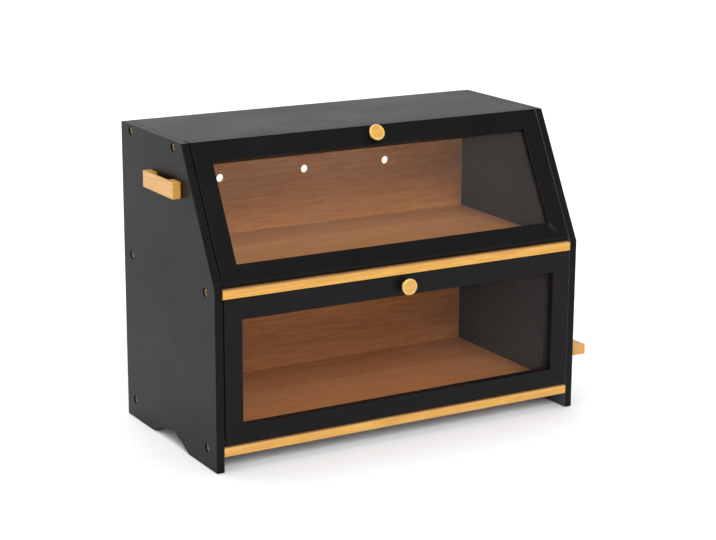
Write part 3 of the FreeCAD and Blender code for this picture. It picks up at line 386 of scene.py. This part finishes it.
def ease(name, material, body, width=0.0006, small=0.00015, steps=3, skip=None, slice_at=()):
    """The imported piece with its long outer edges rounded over, and the rims of its
    holes just broken. skip(edge) leaves an edge sharp, as where two pieces are glued."""
    node = nodes[name]
    bm = bmesh.new()
    bm.from_mesh(node.data)
    bmesh.ops.remove_doubles(bm, verts=bm.verts, dist=2e-6)
    bmesh.ops.dissolve_limit(bm, angle_limit=0.012, verts=bm.verts, edges=bm.edges)
    for point, normal in slice_at:
        bmesh.ops.bisect_plane(bm, geom=bm.verts[:] + bm.edges[:] + bm.faces[:], dist=1e-6, plane_co=point, plane_no=normal)
    bm.normal_update()
    outer = [e for e in bm.edges if len(e.link_faces) == 2 and e.calc_face_angle_signed(0.0) > 0.5]
    long_edges, rims = [], []
    for chain in groups(outer):
        (long_edges if span(chain) > 0.0145 else rims).extend(chain)
    if skip is not None:
        long_edges = [e for e in long_edges if not skip(e)]
    if rims and small:
        keep = [e for e in rims if e.is_valid]
        bmesh.ops.bevel(bm, geom=keep, offset=small, segments=1, profile=0.5, affect="EDGES", clamp_overlap=True)
    long_edges = [e for e in long_edges if e.is_valid]
    bmesh.ops.bevel(bm, geom=long_edges, offset=width, segments=steps, profile=0.5, affect="EDGES", clamp_overlap=False)
    bmesh.ops.remove_doubles(bm, verts=bm.verts, dist=1e-7)
    bm.normal_update()
    mesh = bpy.data.meshes.new(name + "_eased")
    bm.to_mesh(mesh)
    bm.free()
    for p in mesh.polygons:
        p.use_smooth = True
    mesh.set_sharp_from_angle(angle=math.radians(38))
    obj = bpy.data.objects.new(name + "_eased", mesh)
    scene.collection.objects.link(obj)
    mesh.materials.append(material)
    w = obj.modifiers.new("flat_faces", "WEIGHTED_NORMAL")
    w.keep_sharp = True
    w.weight = 100
    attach(obj, body)
    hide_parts(name)
    return obj


def paint_node(name, material):
    """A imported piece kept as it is, with a better material."""
    obj = nodes[name]
    for s in obj.material_slots:
        s.link = "OBJECT"
        s.material = material


def flat(face, axis, tol=0.999):
    return abs(face.normal[axis]) > tol


# Side boards.
for side in ("left", "right"):
    ease("side_panel_" + side, paint_side, "carcass", 0.0008)

# Top board: its ends are glued to the sides, so those stay sharp.
inner = 0.240


def at_board_end(e):
    return all(abs(abs(v.co.x + CX) - inner) < 1e-5 for v in e.verts)


ease("top_board", paint_x, "carcass", 0.0006, skip=at_board_end)
ease("middle_shelf", shelf_wood, "carcass", 0.0007, skip=at_board_end)
ease("bottom_board", floor_wood, "carcass", 0.0007, skip=at_board_end)
ease("back_panel", back_wood, "carcass", 0.0003, small=0.0002)
for side in ("left", "right"):
    ease("handle_" + side, handle_wood, "carcass", 0.0009)
ease("side_grip_right", grip_wood, "carcass", 0.0011)

# Doors: rails and stiles meet without a groove, so the edges at the glue joints
# stay sharp, and a stile's inner edges are eased only between the rails.
PIVOT = {"lower": Vector((-CX, -0.1195 - CY, 0.0353)), "upper": Vector((-CX, -0.1159212 - CY, 0.2213))}
TURN = {"lower": 0.0, "upper": SLANT}
WINDOW = {"lower": (0.0181, 0.1439), "upper": (0.0188, 0.1409)}
WIN_HALF = 0.2155
KNOB_Z = {"lower": 0.1562, "upper": 0.1533}


def own(tag, p):
    """A point in the door's own axes: x along the hinge, y through it, z up it."""
    return Matrix.Rotation(TURN[tag], 3, "X") @ (Vector(p) - PIVOT[tag])


for tag in ("lower", "upper"):
    lo, hi = WINDOW[tag]
    back = Matrix.Rotation(-TURN[tag], 3, "X")

    def glued(e, tag=tag, lo=lo, hi=hi):
        pts = [own(tag, v.co) for v in e.verts]
        if all(abs(abs(p.x) - WIN_HALF) < 2e-5 for p in pts):       # on the plane between rail and stile
            mid = (pts[0] + pts[1]) / 2
            if mid.z < lo + 1e-5 or mid.z > hi - 1e-5:
                return True
            return abs(pts[0].x - pts[1].x) > 1e-6
        return any(abs(p.x) > WIN_HALF + 1e-5 and abs(p.x) < WIN_HALF + 0.0052 and abs(p.y) < 0.0045 for p in pts)

    for side in ("left", "right"):
        cuts = [(PIVOT[tag] + back @ Vector((0, 0, h)), back @ Vector((0, 0, 1))) for h in (lo, hi)]
        ease("%s_stile_%s" % (tag, side), slant_z if tag == "upper" else paint_z, tag + "_door", 0.0007, skip=glued, slice_at=cuts)
    for part in ("bottom", "top"):
        ease("%s_rail_%s" % (tag, part), slant_x if tag == "upper" else paint_x, tag + "_door", 0.0007, skip=glued)
    paint_node(tag + "_window", pane[tag])
    axis_at = PIVOT[tag] + back @ Vector((0.0, -0.0055, KNOB_Z[tag]))
    paint_node(tag + "_knob", turned_bamboo("bamboo_knob_" + tag, tuple(axis_at), TURN[tag]))
    for part in ("knob_screw", "strike_plate", "strike_screw", "hinge_pins"):
        paint_node("%s_%s" % (tag, part), steel)

for name in ("side_screws_left", "side_screws_right"):
    paint_node(name, brass)
for name in ("back_panel_screws", "catch_screws", "catch_magnet_upper", "catch_magnet_lower"):
    paint_node(name, steel)
for name in ("handle_dowels", "side_grip_dowels"):
    paint_node(name, dowel)
for name in ("catch_block_upper", "catch_block_lower"):
    paint_node(name, plastic)

# ----------------------------------------------------------------- the studio
floor_mesh = bpy.data.meshes.new("floor")
bm = bmesh.new()
bmesh.ops.create_grid(bm, x_segments=2, y_segments=2, size=40.0)
bm.to_mesh(floor_mesh)
bm.free()
floor = bpy.data.objects.new("floor", floor_mesh)
scene.collection.objects.link(floor)
floor.location = (0.0, 0.0, -0.0002)
s = Shade("floor_white")
co, _ = s.xyz()
s.principled(s.mix(s.noise(co, 3.0, 3.0), (0.815, 0.815, 0.82), (0.825, 0.825, 0.83)), 0.9, Specular_IOR_Level=0.1)
floor_mesh.materials.append(s.mat)

world = bpy.data.worlds.new("studio")
scene.world = world
world.use_nodes = True
wt = world.node_tree
wt.nodes.clear()
wo = wt.nodes.new("ShaderNodeOutputWorld")
bg = wt.nodes.new("ShaderNodeBackground")
tc = wt.nodes.new("ShaderNodeTexCoord")
sx = wt.nodes.new("ShaderNodeSeparateXYZ")
ramp = wt.nodes.new("ShaderNodeValToRGB")
wt.links.new(tc.outputs["Generated"], sx.inputs[0])
wt.links.new(sx.outputs["Z"], ramp.inputs[0])
ramp.color_ramp.elements[0].position = 0.0
ramp.color_ramp.elements[0].color = (1.0, 1.0, 1.0, 1.0)
ramp.color_ramp.elements[1].position = 0.55
ramp.color_ramp.elements[1].color = (0.45, 0.455, 0.47, 1.0)
wt.links.new(ramp.outputs[0], bg.inputs[0])
# the wall behind the object is lit more than the rest of the room
back_side = wt.nodes.new("ShaderNodeMapRange")
back_side.interpolation_type = "SMOOTHSTEP"
wt.links.new(sx.outputs["Y"], back_side.inputs[0])
for i, v in ((1, 0.1), (2, 0.8), (3, 0.72), (4, 1.15)):
    back_side.inputs[i].default_value = v
# the room is white where it meets the floor, all the way round
horizon = wt.nodes.new("ShaderNodeMapRange")
horizon.interpolation_type = "SMOOTHSTEP"
wt.links.new(sx.outputs["Z"], horizon.inputs[0])
for i, v in ((1, 0.05), (2, 0.11), (3, 1.1), (4, 0.0)):
    horizon.inputs[i].default_value = v
brighter = wt.nodes.new("ShaderNodeMath")
brighter.operation = "MAXIMUM"
wt.links.new(back_side.outputs[0], brighter.inputs[0])
wt.links.new(horizon.outputs[0], brighter.inputs[1])
wt.links.new(brighter.outputs[0], bg.inputs[1])
wt.links.new(bg.outputs[0], wo.inputs[0])


def soft_light(name, towards, width, strength, color=(1.0, 1.0, 1.0)):
    """A very wide distant light, even over the whole floor: a big soft source."""
    data = bpy.data.lights.new(name, "SUN")
    data.angle = math.radians(width)
    data.energy = strength
    data.color = color
    obj = bpy.data.objects.new(name, data)
    scene.collection.objects.link(obj)
    obj.rotation_euler = Vector(towards).to_track_quat("-Z", "Y").to_euler()
    return obj


soft_light("key", (0.17, 0.77, -0.60), 28.0, 2.2)
soft_light("left", (1.0, 0.10, -0.24), 60.0, 1.06)
soft_light("top", (-0.05, -0.38, -1.0), 76.0, 2.2)

# ----------------------------------------------------------------- the camera
YAW, PITCH, ROLL, FOCAL_PX = math.radians(-30.395), math.radians(-14.529), math.radians(0.322), 1915.8
ahead = Vector((-math.sin(YAW) * math.cos(PITCH), math.cos(YAW) * math.cos(PITCH), math.sin(PITCH)))
right = Vector((math.cos(YAW), math.sin(YAW), 0.0))
up = right.cross(ahead)
r2 = math.cos(ROLL) * right + math.sin(ROLL) * up
u2 = -math.sin(ROLL) * right + math.cos(ROLL) * up
cam_data = bpy.data.cameras.new("camera")
cam_data.sensor_fit = "HORIZONTAL"
cam_data.sensor_width = 36.0
cam_data.lens = 36.0 * FOCAL_PX / 716.0
cam_data.clip_start, cam_data.clip_end = 0.05, 120.0
cam = bpy.data.objects.new("camera", cam_data)
scene.collection.objects.link(cam)
m = Matrix((r2, u2, -ahead)).transposed().to_4x4()
m.translation = Vector((-1.1598, -1.9777, 0.7764))
cam.matrix_world = m
scene.camera = cam
